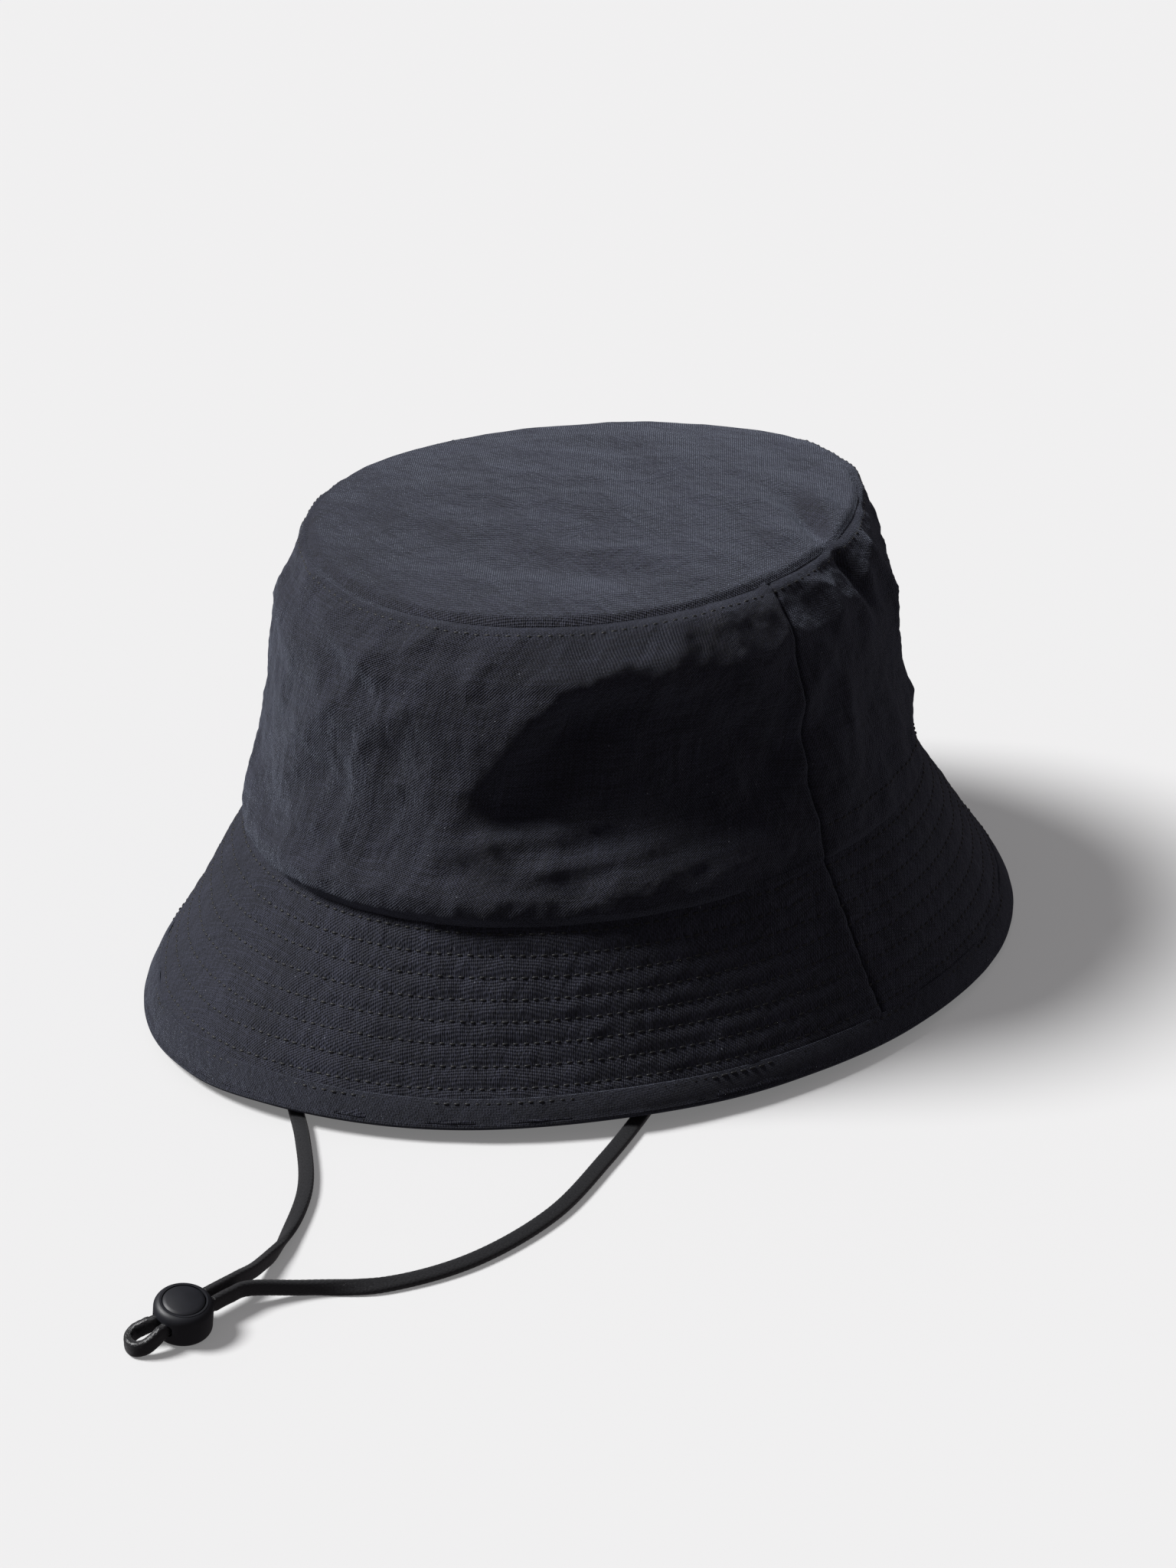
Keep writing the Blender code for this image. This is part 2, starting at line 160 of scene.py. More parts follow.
def with_lint(n, uv, colour):
    """Tiny pale specks of lint, here and there on the cloth."""
    cells = n.add("ShaderNodeTexVoronoi")
    n.link(uv, cells.inputs["Vector"])
    cells.inputs["Scale"].default_value = 520.0
    parts = n.add("ShaderNodeSeparateColor")
    n.link(cells.outputs["Color"], parts.inputs[0])
    near = n.maths("LESS_THAN", cells.outputs["Distance"], 0.085)
    speck = n.maths("MULTIPLY", near, n.maths("GREATER_THAN", parts.outputs[0], 0.80))
    mix = n.add("ShaderNodeMix", data_type="RGBA")
    n.link(speck, mix.inputs["Factor"])
    n.link(colour, mix.inputs[6])
    mix.inputs[7].default_value = (0.16, 0.17, 0.20, 1.0)
    return mix.outputs[2]


def weave_material(name, dark, light, threads_mm, sheen, roughness=0.75, twill=False):
    """Plain weave or twill: crossing threads of uneven thickness and tone, in UV metres, with the weave's
    relief also painted into the colour as shade.
    """
    n = Nodes(name)
    uv = n.add("ShaderNodeUVMap").outputs["UV"]
    if name.startswith("shell"):
        uv = n.add("ShaderNodeTexCoord").outputs["UV"]
    parts = n.add("ShaderNodeSeparateXYZ")
    n.link(uv, parts.inputs[0])
    pitch = 2 * math.pi * threads_mm * 500.0
    wobble = n.maths("MULTIPLY", n.noise(uv, 900.0, 2.0), 2.4)
    across = n.maths("ADD", n.maths("MULTIPLY", parts.outputs[0], pitch), wobble)
    along = n.maths("ADD", n.maths("MULTIPLY", parts.outputs[1], pitch), wobble)
    warp = n.maths("SINE", across)
    weft = n.maths("SINE", along)
    if twill:
        height = n.maths("SINE", n.maths("ADD", across, along))
    else:
        height = n.maths("MULTIPLY", warp, weft)
    warp_slub = n.noise(n.scaled(uv, (threads_mm * 1000.0, 55.0, 1.0)), 1.0, 2.0)
    weft_slub = n.noise(n.scaled(uv, (55.0, threads_mm * 1000.0, 1.0)), 1.0, 2.0)
    slub = n.maths("ADD", warp_slub, weft_slub)
    fleck = n.noise(uv, threads_mm * 900.0, 1.0)
    cloud = n.noise(uv, 38.0, 4.0, 0.6)
    shade = n.maths("ADD", n.maths("MULTIPLY", slub, 0.55), n.maths("MULTIPLY", fleck, 0.85))
    shade = n.maths("ADD", shade, n.maths("MULTIPLY", cloud, 0.30))
    # Painted shade: the weave's height tints the colour, darker in its low places and lighter on its raised
    # threads.
    shade = n.maths("ADD", shade, n.maths("MULTIPLY", height, 0.10))
    shade = n.maths("SUBTRACT", shade, 0.50)
    colour = n.ramp(shade, ((0.50, dark), (0.92, light)))
    if name.startswith("shell"):
        colour = with_lint(n, uv, colour)
    n.link(colour, n.shader.inputs["Base Color"])
    n.shader.inputs["Roughness"].default_value = roughness
    n.shader.inputs["Specular IOR Level"].default_value = 0.35
    n.shader.inputs["Sheen Weight"].default_value = sheen
    n.shader.inputs["Sheen Roughness"].default_value = 0.45
    n.shader.inputs["Sheen Tint"].default_value = (0.72, 0.80, 1.0, 1.0)
    relief = n.maths("ADD", n.maths("MULTIPLY", height, 0.5), n.maths("MULTIPLY", slub, 0.6))
    fine = n.bump(relief, 0.00024, 1.0)
    crumple = n.noise(uv, 260.0, 4.0, 0.65)
    n.link(n.bump(crumple, 0.0011, 0.6, fine), n.shader.inputs["Normal"])
    return n.material


def thread_material(name, colour, roughness=0.5):
    """Twisted thread: a fine diagonal ply along it."""
    n = Nodes(name)
    place = n.add("ShaderNodeTexCoord").outputs["Object"]
    ply = n.noise(place, 5200.0, 2.0)
    shade = n.ramp(ply, ((0.3, tuple(c * 0.6 for c in colour)), (0.75, colour)))
    n.link(shade, n.shader.inputs["Base Color"])
    n.shader.inputs["Roughness"].default_value = roughness
    n.shader.inputs["Sheen Weight"].default_value = 0.15
    n.link(n.bump(ply, 0.00005, 0.7), n.shader.inputs["Normal"])
    return n.material


def cord_material():
    """Braided polyester: glossy filaments along each plait."""
    n = Nodes("cord_braid")
    uv = n.add("ShaderNodeTexCoord").outputs["UV"]
    filament = n.noise(n.scaled(uv, (9000.0, 1500.0, 1.0), 0.5), 1.0, 2.0)
    shade = n.ramp(filament, ((0.35, (0.003, 0.003, 0.004)), (0.8, (0.030, 0.031, 0.035))))
    n.link(shade, n.shader.inputs["Base Color"])
    n.shader.inputs["Roughness"].default_value = 0.36
    n.shader.inputs["Specular IOR Level"].default_value = 0.6
    n.shader.inputs["Sheen Weight"].default_value = 0.2
    n.link(n.bump(filament, 0.00008, 0.8), n.shader.inputs["Normal"])
    return n.material


def plastic_material():
    """Fine matt moulded plastic."""
    n = Nodes("lock_moulding")
    place = n.add("ShaderNodeTexCoord").outputs["Object"]
    grain = n.noise(place, 9000.0, 2.0)
    tone = n.noise(place, 260.0, 3.0)
    shade = n.ramp(tone, ((0.3, (0.013, 0.014, 0.018)), (0.75, (0.019, 0.020, 0.026))))
    n.link(shade, n.shader.inputs["Base Color"])
    rough = n.maths("ADD", n.maths("MULTIPLY", grain, 0.16), 0.40)
    n.link(rough, n.shader.inputs["Roughness"])
    n.link(n.bump(grain, 0.00002, 0.5), n.shader.inputs["Normal"])
    return n.material


def steel_material():
    n = Nodes("spring_wire")
    place = n.add("ShaderNodeTexCoord").outputs["Object"]
    drawn = n.noise(place, 3000.0, 2.0)
    shade = n.ramp(drawn, ((0.3, (0.40, 0.40, 0.41)), (0.7, (0.60, 0.60, 0.61))))
    n.link(shade, n.shader.inputs["Base Color"])
    n.shader.inputs["Metallic"].default_value = 1.0
    n.shader.inputs["Roughness"].default_value = 0.3
    return n.material


SHELL = weave_material("shell_cloth", (0.0062, 0.0062, 0.0105), (0.044, 0.046, 0.074), 2.6, 0.35)
LINER = weave_material("liner_twill", (0.012, 0.013, 0.018), (0.034, 0.036, 0.046), 3.2, 0.25, 0.8, True)
LABEL = weave_material("label_satin", (0.020, 0.021, 0.026), (0.060, 0.062, 0.070), 5.0, 0.3, 0.6)
THREAD = thread_material("sewing_thread", (0.0045, 0.0048, 0.0062))
CORD = cord_material()
PLASTIC = plastic_material()
STEEL = steel_material()

# -------------------------------------------------------------------- faces of the hat's cloth

# How far the side band has widened, from tip seam (0) to base seam (1), against its drop.
BAND_PROFILE = ((0.0, 0.0), (0.05, 0.14), (0.14, 0.36), (0.30, 0.53), (0.55, 0.67), (0.78, 0.85), (1.0, 1.0))
TIP_SLUMP = 7.0 * MM
TIP_SLUMP_DEG = 137.0

EDGE_LIFT = (
    (-180, 2.5),
    (-150, 0.6),
    (-128, 0.0),
    (-108, 0.0),
    (-90, 2.2),
    (-77, 3.4),
    (-57, 2.8),
    (-36, 3.5),
    (-15, 2.6),
    (5, 1.6),
    (30, 0.0),
    (115, 0.0),
    (145, 1.2),
    (180, 2.5),
)


def wrapped(degrees):
    return (np.asarray(degrees, float) + 180.0) % 360.0 - 180.0


def smooth_read(pairs, at):
    """A monotone smooth curve through pairs, at an array of places."""
    x, y = (np.array([p[k] for p in pairs], float) for k in (0, 1))
    slopes = np.gradient(y, x)
    k = np.clip(np.searchsorted(x, at) - 1, 0, len(x) - 2)
    width = x[k + 1] - x[k]
    t = np.clip((at - x[k]) / width, 0.0, 1.0)
    return (
        (2 * t**3 - 3 * t**2 + 1) * y[k]
        + (t**3 - 2 * t**2 + t) * width * slopes[k]
        + (3 * t**2 - 2 * t**3) * y[k + 1]
        + (t**3 - t**2) * width * slopes[k + 1]
    )


def eased_read(pairs, at):
    x, y = (np.array([p[k] for p in pairs], float) for k in (0, 1))
    k = np.clip(np.searchsorted(x, at, side="right") - 1, 0, len(x) - 2)
    t = np.clip((at - x[k]) / (x[k + 1] - x[k]), 0.0, 1.0)
    return y[k] + (y[k + 1] - y[k]) * (0.5 - 0.5 * np.cos(np.pi * t))


def near_angle(degrees, middle, spread):
    """1 at the middle angle, easing to 0 a spread away."""
    away = np.abs(wrapped(np.asarray(degrees) - middle)) / spread
    return np.where(away < 1, 0.5 + 0.5 * np.cos(np.pi * np.minimum(away, 1)), 0.0)


def pressed_in(presses, bearing):
    """How far a ring is pushed in at a bearing, in metres."""
    return sum(
        depth * MM * np.exp(-((wrapped(bearing - middle) / spread) ** 2))
        for middle, spread, depth in presses
    )


def oval(half, middle, z, degrees, presses=()):
    turn = np.radians(degrees)
    x, y = half[0] * np.cos(turn), half[1] * np.sin(turn)
    if presses:
        kept = 1 - pressed_in(presses, np.degrees(np.arctan2(y, x))) / np.hypot(x, y)
        x, y = x * kept, y * kept
    return np.stack([middle[0] + x, middle[1] + y, z + 0 * turn], -1)


def tip_slump(degrees):
    return TIP_SLUMP * np.maximum(0.0, np.cos(np.radians(degrees - TIP_SLUMP_DEG))) ** 2


def edge_lift(degrees):
    return eased_read(EDGE_LIFT, wrapped(degrees)) * MM


# Folds in the cloth. Each is a line from one place to another in (degrees, drop) on the side
# band, with its width and its height in mm, outward positive.
BAND_MM_PER_DEG = 1.45
BAND_MM_PER_DROP = 76.0
BAND_FOLDS = (
    ((-56, 0.70), (-34, 0.66), 2.6, 1.5),
    ((-50, 0.80), (-22, 0.74), 2.4, 1.3),
    ((-46, 0.60), (-36, 0.70), 2.2, -1.0),
    ((-30, 0.84), (-8, 0.80), 2.4, 1.0),
    ((-99, 0.07), (-72, 0.20), 2.4, 1.2),
    ((-97, 0.13), (-74, 0.29), 3.0, -0.9),
    ((-128, 0.22), (-100, 0.34), 4.5, -1.0),
    ((-122, 0.16), (-96, 0.24), 4.0, 0.8),
    ((-104, 0.40), (-78, 0.52), 5.0, 0.6),
    ((-70, 0.10), (-54, 0.13), 3.0, -0.7),
    ((20, 0.00), (24, 0.26), 2.8, -3.4),
    ((29, 0.00), (36, 0.34), 3.6, 2.0),
    ((12, 0.02), (13, 0.30), 3.6, 1.4),
    ((44, 0.06), (52, 0.50), 4.5, -1.6),
    ((40, 0.30), (46, 0.75), 7.0, -1.2),
    ((-128, 0.62), (-95, 0.80), 7.0, -0.8),
    ((-110, 0.90), (-60, 0.96), 4.0, 0.8),
    ((95, 0.15), (140, 0.35), 7.0, -1.6),
    ((150, 0.10), (172, 0.55), 7.0, -1.5),
    ((60, 0.45), (110, 0.62), 8.0, 1.2),
    ((120, 0.60), (165, 0.78), 7.0, -1.2),
)
TIP_FOLDS = (
    ((66, 25), (38, 36), 3.4, -3.0),
    ((60, 34), (36, 46), 4.0, 1.2),
    ((64, 14), (42, 22), 4.5, 1.2),
    ((-6, -52), (42, -28), 9.0, -1.8),
    ((14, -34), (48, -12), 6.0, 0.8),
    ((-40, -48), (-18, -8), 8.0, 1.0),
    ((-30, 30), (24, 8), 9.0, -1.2),
    ((-8, -18), (30, 6), 6.0, 0.6),
    ((-50, 12), (-8, 48), 8.0, 0.9),
    ((2, 62), (30, 50), 6.0, -1.2),
)


def fold_field(x, y, folds, place):
    """The summed height of folds, at arrays of places in mm."""
    total = np.zeros_like(x)
    for start, end, width, height in folds:
        (x0, y0), (x1, y1) = place(start), place(end)
        length2 = (x1 - x0) ** 2 + (y1 - y0) ** 2
        t = np.clip(((x - x0) * (x1 - x0) + (y - y0) * (y1 - y0)) / length2, 0, 1)
        away = np.hypot(x - x0 - t * (x1 - x0), y - y0 - t * (y1 - y0)) / width
        total += height * np.exp(-away**2) * (0.35 + 0.65 * np.sin(np.pi * t))
    return total


# The big dent on the left front of the side band: its outline in (degrees, drop), its depth,
# and how far inside the outline it reaches that depth, at its upper left lip and elsewhere.
DENT_OUTLINE = (
    (-58, 0.70),
    (-58, 0.54),
    (-50, 0.34),
    (-42, 0.20),
    (-30, 0.15),
    (-16, 0.19),
    (-6, 0.30),
    (4, 0.50),
    (6, 0.74),
    (0, 0.88),
    (-16, 0.88),
    (-32, 0.84),
    (-46, 0.80),
)
DENT_DEPTH = 5.2
LIP_MM = 12.0
FOOT_MM = 19.0


def band_mm(degrees, drop):
    return wrapped(degrees) * BAND_MM_PER_DEG, drop * BAND_MM_PER_DROP


def dent_field(degrees, drop):
    """Depth of the dent in mm, from the distance inside its outline."""
    x, y = band_mm(degrees, drop)
    corners = [band_mm(*corner) for corner in DENT_OUTLINE]
    inside = np.zeros(x.shape, bool)
    near = np.full(x.shape, np.inf)
    for (x0, y0), (x1, y1) in zip(corners, corners[1:] + corners[:1]):
        crosses = (y0 > y) != (y1 > y)
        inside ^= crosses & (x < (x1 - x0) * (y - y0) / (y1 - y0 + 1e-9) + x0)
        forward = (x - x0) * (x1 - x0) + (y - y0) * (y1 - y0)
        along = np.clip(forward / ((x1 - x0) ** 2 + (y1 - y0) ** 2), 0, 1)
        near = np.minimum(near, np.hypot(x - x0 - along * (x1 - x0), y - y0 - along * (y1 - y0)))
    signed = np.where(inside, near, -near)
    lip_x, lip_y = band_mm(-48.0, 0.25)
    lip = np.exp(-(np.hypot(x - lip_x, y - lip_y) / 38.0) ** 2)
    reach = FOOT_MM + (LIP_MM - FOOT_MM) * lip
    t = np.clip((signed + 2.0) / reach, 0, 1)
    return -DENT_DEPTH * t * t * (3 - 2 * t)


def crumple(points, scale, seed):
    """Perlin noise at each point, from -1 to 1."""
    offset = Vector((seed * 7.1, seed * 3.3, seed * 1.7))
    flat = points.reshape(-1, 3)
    values = [noise.noise(Vector(p) * scale + offset) for p in flat.tolist()]
    return np.array(values).reshape(points.shape[:-1])


def base_ring(degrees):
    return oval(BASE_HALF, BASE_MIDDLE, BASE_Z, degrees, BASE_PRESSES)


def creases(points, seed):
    """Worn-in rumpling of the cloth in mm: soft waves, with sharper ridges along them."""
    soft = 1.6 * crumple(points, 34.0, seed) + 1.0 * crumple(points, 85.0, seed + 1)
    ridge = 1.0 - 2.4 * np.abs(crumple(points, 46.0, seed + 2)) ** 0.75
    sharp = 1.0 - 2.4 * np.abs(crumple(points, 95.0, seed + 5)) ** 0.7
    small = 0.42 * crumple(points, 210.0, seed + 3) + 0.22 * crumple(points, 480.0, seed + 4)
    return soft + 0.8 * ridge + 0.16 * sharp + small


def band_plain(degrees, drop):
    tip = oval(TIP_HALF, TIP_MIDDLE, TIP_Z - tip_slump(degrees), degrees)
    base = base_ring(degrees)
    widened = smooth_read(BAND_PROFILE, drop)[..., None]
    point = tip + (base - tip) * widened
    point[..., 2] = tip[..., 2] + (base[..., 2] - tip[..., 2]) * drop
    return point


def band_field(degrees, drop):
    """How far the band's cloth stands off its plain shape, in mm."""
    x, y = band_mm(degrees, drop)
    field = fold_field(x, y, BAND_FOLDS, lambda p: band_mm(*p)) + dent_field(degrees, drop)
    front = near_angle(degrees, -65.0, 75.0)
    roll = np.exp(-(((drop - 0.90) / 0.07) ** 2))
    field = field + 2.4 * front * roll
    shoulder = np.exp(-(((drop - 0.10) / 0.09) ** 2)) * near_angle(degrees, -30, 60)
    return field + 1.2 * shoulder


def outward(face, degrees, share, step_deg=0.25, step=0.004):
    round_it = face(degrees + step_deg, share) - face(degrees - step_deg, share)
    down_it = face(degrees, share + step) - face(degrees, share - step)
    across = np.cross(down_it, round_it)
    return across / np.linalg.norm(across, axis=-1, keepdims=True)


def band_face(degrees, drop):
    """The side band's outer face, folds included. Its two seams stay on their ovals."""
    plain = band_plain(degrees, drop)
    hold = np.clip(drop / 0.05, 0, 1) * np.clip((1 - drop) / 0.05, 0, 1)
    hold = hold * hold * (3 - 2 * hold)
    field = band_field(degrees, drop)
    ripple = creases(plain, 21)
    at_tip = 0.25 + 0.75 * hold
    lift = (field * np.where(drop < 0.5, at_tip, hold) + ripple * hold) * MM
    return plain + outward(band_plain, degrees, drop) * lift[..., None]


def tip_face(x, y):
    """The crown's top at places across it, in metres from its middle."""
    share2 = (x / TIP_HALF[0]) ** 2 + (y / TIP_HALF[1]) ** 2
    degrees = np.degrees(np.arctan2(y / TIP_HALF[1], x / TIP_HALF[0]))
    rise = TIP_DOME * (1 - share2) - tip_slump(degrees) * share2
    folds = fold_field(x / MM, y / MM, TIP_FOLDS, lambda p: p)
    flat = np.stack([x, y, 0 * x], -1)
    ripple = creases(flat, 35)
    seam = np.clip((1 - np.sqrt(share2)) / 0.12, 0, 1)
    z = TIP_Z + rise + (folds * (0.3 + 0.7 * seam) + 0.55 * ripple * seam) * MM
    return np.stack([x + TIP_MIDDLE[0], y + TIP_MIDDLE[1], z], -1)


def tip_polar(degrees, share):
    turn = np.radians(degrees)
    return tip_face(TIP_HALF[0] * share * np.cos(turn), TIP_HALF[1] * share * np.sin(turn))


# The brim: rows of stitching draw its plies together, and the cloth puffs between them.
ROW_COUNT = 9
FIRST_ROW = 0.8 * MM
ROW_PITCH = 5.4 * MM
BINDING_WIDTH = 6.4 * MM
PUFF = 0.34
BRIM_SAG = 0.5 * MM


def brim_plain(degrees, share):
    top = base_ring(degrees)
    foot = oval(EDGE_HALF, EDGE_MIDDLE, edge_lift(degrees) + EDGE_RISE, degrees, EDGE_PRESSES)
    share = np.asarray(share, float)[..., None]
    line = top + (foot - top) * share
    turn = np.radians(degrees)
    out = np.stack([np.cos(turn), np.sin(turn), 0 * turn], -1)
    return line - out * (BRIM_SAG * 4 * share * (1 - share))


SLANT = float(np.linalg.norm(brim_plain(np.array(-45.0), 1.0) - brim_plain(np.array(-45.0), 0.0)))
ROWS = [(FIRST_ROW + k * ROW_PITCH) / SLANT for k in range(ROW_COUNT - 1)]
ROWS.append(1 - (BINDING_WIDTH - 0.9 * MM) / SLANT)


def quilting(share):
    """Height of the puffed cloth between the rows, in mm: 0 on each row."""
    height = np.full_like(np.asarray(share, float), 0.0)
    marks = ROWS + [1.12]
    for a, b in zip(marks, marks[1:]):
        inside = (share >= a) & (share < b)
        t = (share - a) / (b - a)
        height = np.where(inside, np.sin(np.pi * np.clip(t, 0, 1)) ** 1.1, height)
    return PUFF * height


def brim_face(degrees, share):
    plain = brim_plain(degrees, share)
    turn, share = np.broadcast_arrays(np.radians(degrees), share)
    drawn = np.stack([turn * 30.0, share * 16.0, 0 * turn], -1)
    fine, broad = crumple(plain, 260.0, 11), crumple(plain, 60.0, 12)
    pucker = fine * 0.20 + broad * 0.50 + crumple(drawn, 1.0, 13) * 0.16
    lift = (quilting(share) + pucker) * MM
    return plain + outward(brim_plain, degrees, share) * lift[..., None]


# ---------------------------------------------------------------------------- cloth pieces


def grid_mesh(name, points, uvs, material, thickness, closed=False, offset=-1.0):
    """A cloth piece from a grid of points (rows, columns, 3), with UVs in metres."""
    rows, columns = points.shape[:2]
    index = np.arange(rows * columns).reshape(rows, columns)
    if closed:
        index = np.concatenate([index, index[:, :1]], axis=1)
    faces = np.stack([index[:-1, :-1], index[1:, :-1], index[1:, 1:], index[:-1, 1:]], -1).reshape(-1, 4)
    mesh = bpy.data.meshes.new(name)
    mesh.from_pydata(points.reshape(-1, 3).tolist(), [], faces.tolist())
    layer = mesh.uv_layers.new(name="cloth")
    flat = uvs.reshape(-1, 2)
    loops = np.empty(len(mesh.loops), np.int64)
    mesh.loops.foreach_get("vertex_index", loops)
    layer.data.foreach_set("uv", flat[loops].astype(np.float32).ravel())
    mesh.shade_smooth()
    mesh.materials.append(material)
    made = bpy.data.objects.new(name, mesh)
    bpy.context.scene.collection.objects.link(made)
    if thickness:
        shell = made.modifiers.new("thickness", "SOLIDIFY")
        shell.thickness = thickness
        shell.offset = offset
    return made


def face_grid(face, arc, levels, columns, depth=0.0):
    """Points on a face, columns + 1 of them round an arc at each level, at a depth under it."""
    degrees, shares = np.meshgrid(np.linspace(arc[0], arc[1], columns + 1), np.asarray(levels, float))
    points = face(degrees, shares)
    if depth:
        points = points - outward(face, degrees, shares, 0.4, 0.008) * depth
    return points, degrees, shares


def arc_uvs(points):
    """UVs in metres: along each row, and down from the first."""
    across = np.cumsum(np.linalg.norm(np.diff(points, axis=1, prepend=points[:, :1]), axis=-1), axis=1)
    down = np.cumsum(np.linalg.norm(np.diff(points, axis=0, prepend=points[:1]), axis=-1), axis=0)
    middle = across.shape[1] // 2
    return np.stack([across - across[:, middle : middle + 1], down], -1)


def plan_uvs(points):
    return points[..., :2].copy()


SEAM_DEG = 0.05
FRONT_ARC = (-180.0 + SEAM_DEG, -SEAM_DEG)
BACK_ARC = (SEAM_DEG, 180.0 - SEAM_DEG)
WHOLE_ARC = (-180.0, 180.0)
CLOTH = 0.45 * MM


def on_hat(piece, slot, *nodes):
    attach(piece, "hat")
    if nodes:
        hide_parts(*nodes)
    return piece


def folded_edge_levels(count, first, last):
    """Levels closer together at both ends."""
    t = np.linspace(0, 1, count)
    eased = t - 0.06 * np.sin(2 * np.pi * t)
    return first + (last - first) * eased


def side_seam_lift(degrees, arc, side):
    """How far a panel stands up beside its side seams, in mm: each edge rolls under at the seam."""
    away = np.minimum(np.abs(degrees - arc[0]), np.abs(degrees - arc[1]))
    raised = 0.45 if side == "front" else 0.05
    return raised * np.exp(-((away / 2.2) ** 2)) - 0.65 * np.exp(-((away / 0.32) ** 2))


def make_band():
    levels = folded_edge_levels(84, 0.0, 1.0)
    for side, arc in (("front", FRONT_ARC), ("back", BACK_ARC)):
        points, degrees, shares = face_grid(band_face, arc, levels, 330)
        normal = outward(band_plain, degrees, shares)
        points = points + normal * (side_seam_lift(degrees, arc, side) * MM)[..., None]
        allowance = 0.35 * np.clip(1 - np.abs(shares - 0.045) / 0.045, 0, 1) ** 0.5
        tuck = 1.8 * np.exp(-((shares / 0.016) ** 2)) + 0.9 * np.exp(-(((1 - shares) / 0.014) ** 2))
        points = points + normal * ((allowance - tuck) * MM)[..., None]
        name = f"crown_{side}_cloth"
        piece = grid_mesh(name, points, arc_uvs(points), SHELL, CLOTH)
        on_hat(piece, "shell_cloth", f"crown_{side}_panel")


def make_tip():
    levels = np.concatenate([np.linspace(0.004, 0.9, 60), np.linspace(0.915, 1.0, 12)])
    degrees, shares = np.meshgrid(np.linspace(-180, 180, 361)[:-1], levels)
    points = tip_polar(degrees, shares)
    edge = np.exp(-(((1 - shares) / 0.018) ** 2))
    points[..., 2] -= edge * 1.5 * MM
    piece = grid_mesh("crown_tip_cloth", points, plan_uvs(points), SHELL, 0.0, closed=True)
    mesh = bmesh.new()
    mesh.from_mesh(piece.data)
    mesh.verts.ensure_lookup_table()
    mesh.faces.new(mesh.verts[:360])
    mesh.to_mesh(piece.data)
    mesh.free()
    shell = piece.modifiers.new("thickness", "SOLIDIFY")
    shell.thickness = CLOTH
    on_hat(piece, "shell_cloth", "crown_tip")


def make_brim():
    fine = np.linspace(-0.045, 1 - 0.6 * MM / SLANT, 114)
    for side, arc in (("front", FRONT_ARC), ("back", BACK_ARC)):
        points, degrees, shares = face_grid(brim_face, arc, fine, 420)
        lift = side_seam_lift(degrees, arc, side) * np.clip((1 - shares) / 0.1, 0, 1) * MM
        points = points + outward(brim_plain, degrees, shares) * lift[..., None]
        piece = grid_mesh(f"brim_{side}_cloth", points, plan_uvs(points) * 1.2, SHELL, CLOTH)
        on_hat(piece, "shell_cloth", f"brim_upper_{side}")
        coarse = fine[::2]
        degrees, shares = np.meshgrid(np.linspace(arc[0], arc[1], 211), coarse)
        points = brim_plain(degrees, shares)
        deep = (1.5 + quilting(shares) + 0.3 * crumple(points, 70.0, 14)) * MM
        points = points - outward(brim_plain, degrees, shares) * deep[..., None]
        name = f"brim_{side}_under_cloth"
        piece = grid_mesh(name, points, plan_uvs(points) * 1.2, SHELL, CLOTH, offset=1.0)
        on_hat(piece, "shell_cloth", f"brim_under_{side}", f"brim_interlining_{side}")


def make_binding():
    """A folded strip round the brim's edge, puffed between its stitching and its fold."""
    turns = np.linspace(-180, 180, 721)[:-1]
    profile = []
    width = BINDING_WIDTH / SLANT
    for k in range(15):
        t = k / 14
        puff = 0.30 * math.sin(math.pi * min(1.0, t * 1.15)) ** 0.7
        profile.append((1 - width * (1 - t) - 0.4 * MM / SLANT, -(0.42 + puff)))
    for k in range(1, 9):
        turn = math.pi * k / 9
        profile.append((1 + 0.8 * MM / SLANT * math.sin(turn), -0.45 + 2.75 * (0.5 - 0.5 * math.cos(turn))))
    for k in range(9):
        t = 1 - k / 8
        profile.append((1 - width * (1 - t) - 0.4 * MM / SLANT, 2.3 + 0.12 * math.sin(math.pi * t)))
    rows = []
    for share, depth in profile:
        shares = np.full_like(turns, share)
        plain = brim_plain(turns, shares)
        wavy = 0.16 * crumple(plain, 130.0, 15)
        rows.append(plain - outward(brim_plain, turns, shares) * ((depth + wavy) * MM)[..., None])
    points = np.stack(rows)
    points[..., 2] = np.maximum(points[..., 2], 0.0)
    along = np.radians(turns) * 0.125
    down = np.linspace(0, 0.016, len(profile))
    uvs = np.stack(np.broadcast_arrays(along[None, :], down[:, None]), -1)
    turned = np.stack([uvs[..., 0] + uvs[..., 1], uvs[..., 0] - uvs[..., 1]], -1)
    piece = grid_mesh("brim_binding_cloth", points, turned, SHELL, 0.35 * MM, closed=True)
    on_hat(piece, "shell_cloth", "brim_edge_binding")


def plain_band(name, arc, levels, columns, depth, thick, material):
    grid = face_grid(band_face, arc, levels, columns, depth)
    return grid_mesh(name, *with_uvs(grid), material, thick)


